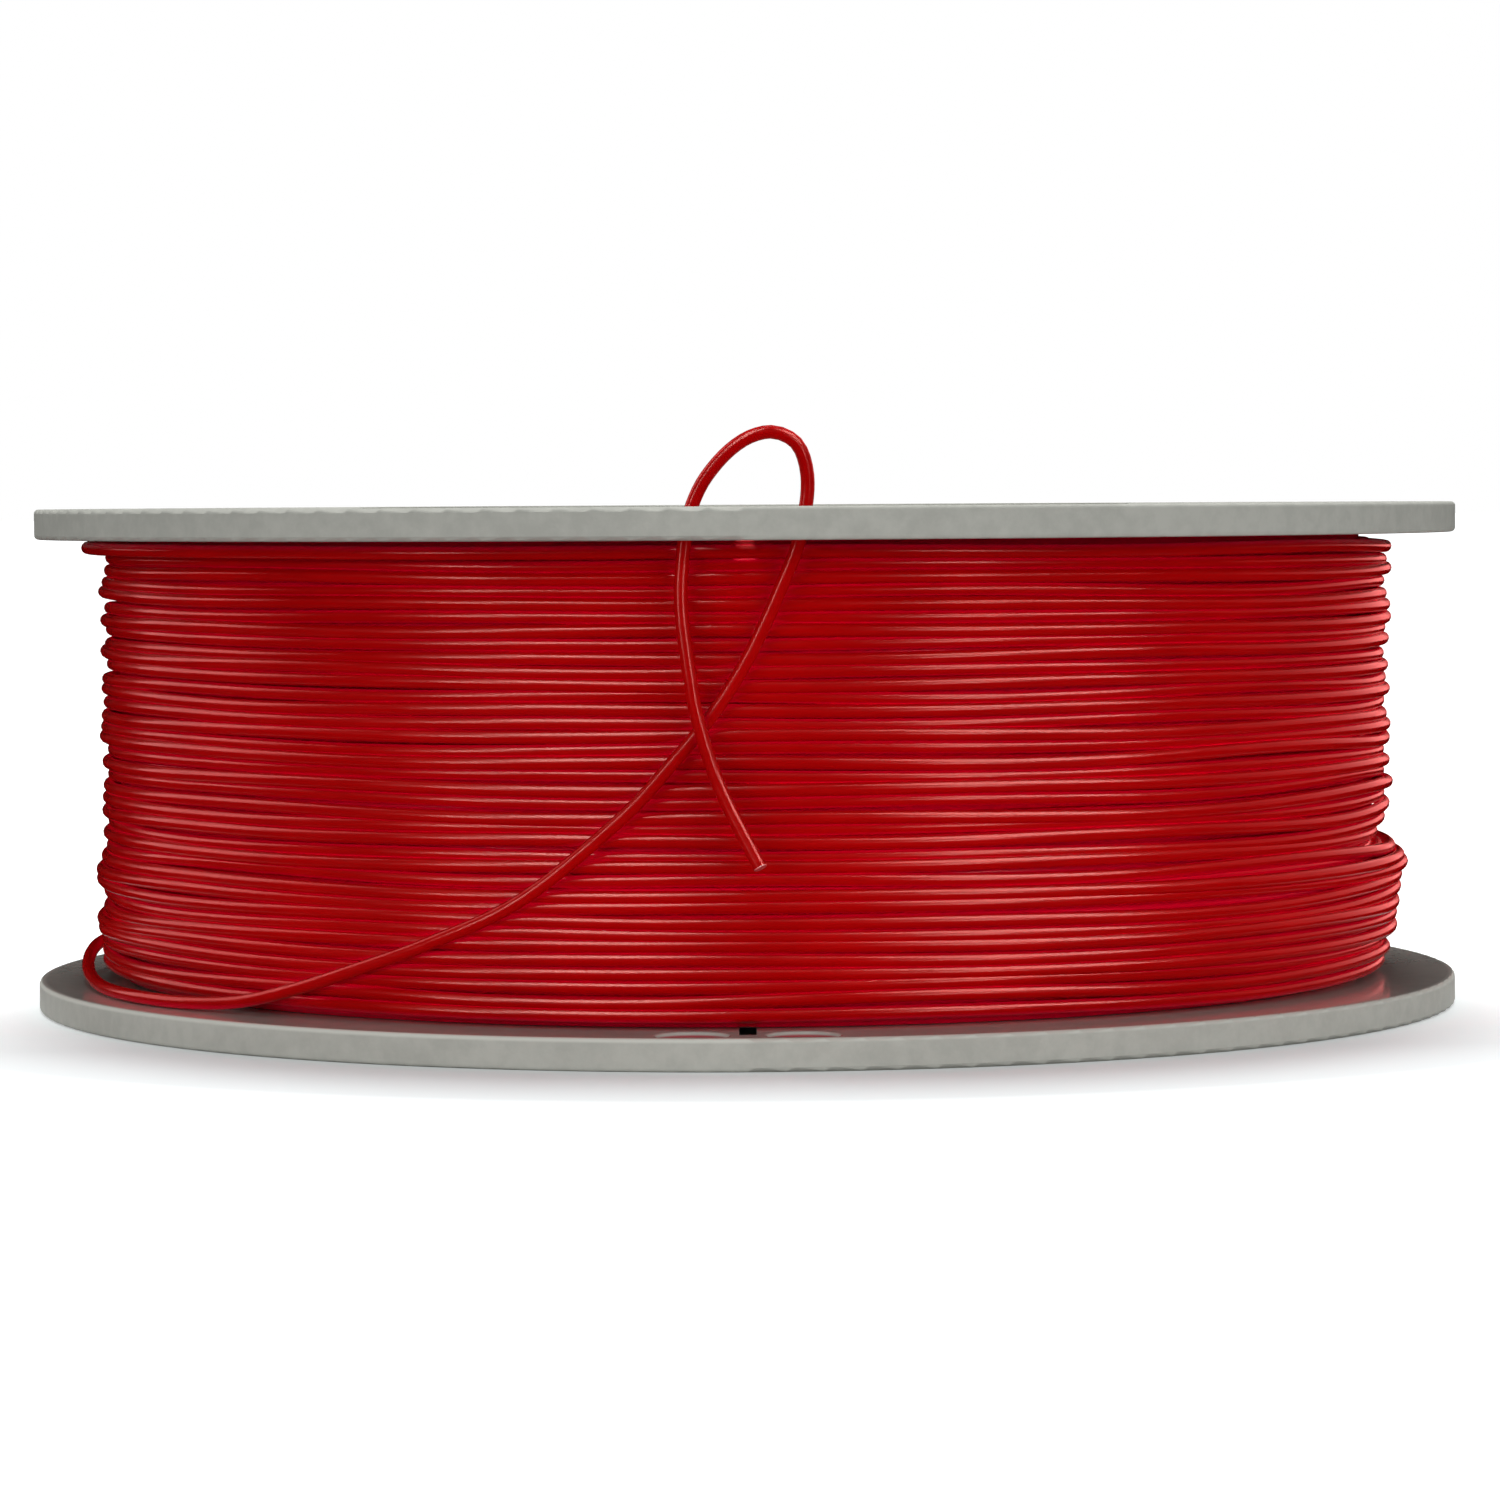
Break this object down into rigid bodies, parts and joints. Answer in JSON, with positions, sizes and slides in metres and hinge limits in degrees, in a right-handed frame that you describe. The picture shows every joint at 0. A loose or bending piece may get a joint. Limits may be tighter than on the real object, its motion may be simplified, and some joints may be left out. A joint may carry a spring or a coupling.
{
  "type": "filament reel",
  "caption": "Full filament reel: dished flanges clipped to a ribbed drum, a wound strand, and its free end threaded through holes at the flange's edge.",
  "frame": {"origin": "centre of the lower flange's outer face, on the axis of the bore", "axes": "+Z along the bore, from the lower flange to the upper one; -Y towards the holes that hold the filament's free end"},
  "size_m": [0.2, 0.2, 0.0801],
  "materials": {
    "reel_plastic": "warm grey moulded plastic, fine texture on the rim, smoother on the faces to the filament",
    "filament": "glossy opaque red"
  },
  "bodies": {
    "root": {"lower_flange": "reel_plastic", "upper_flange": "reel_plastic", "core_barrel": "reel_plastic", "packed_filament": "filament", "outer_winding": "filament", "filament_tail": "filament", "filament_anchor": "filament"}
  },
  "joints": []
}
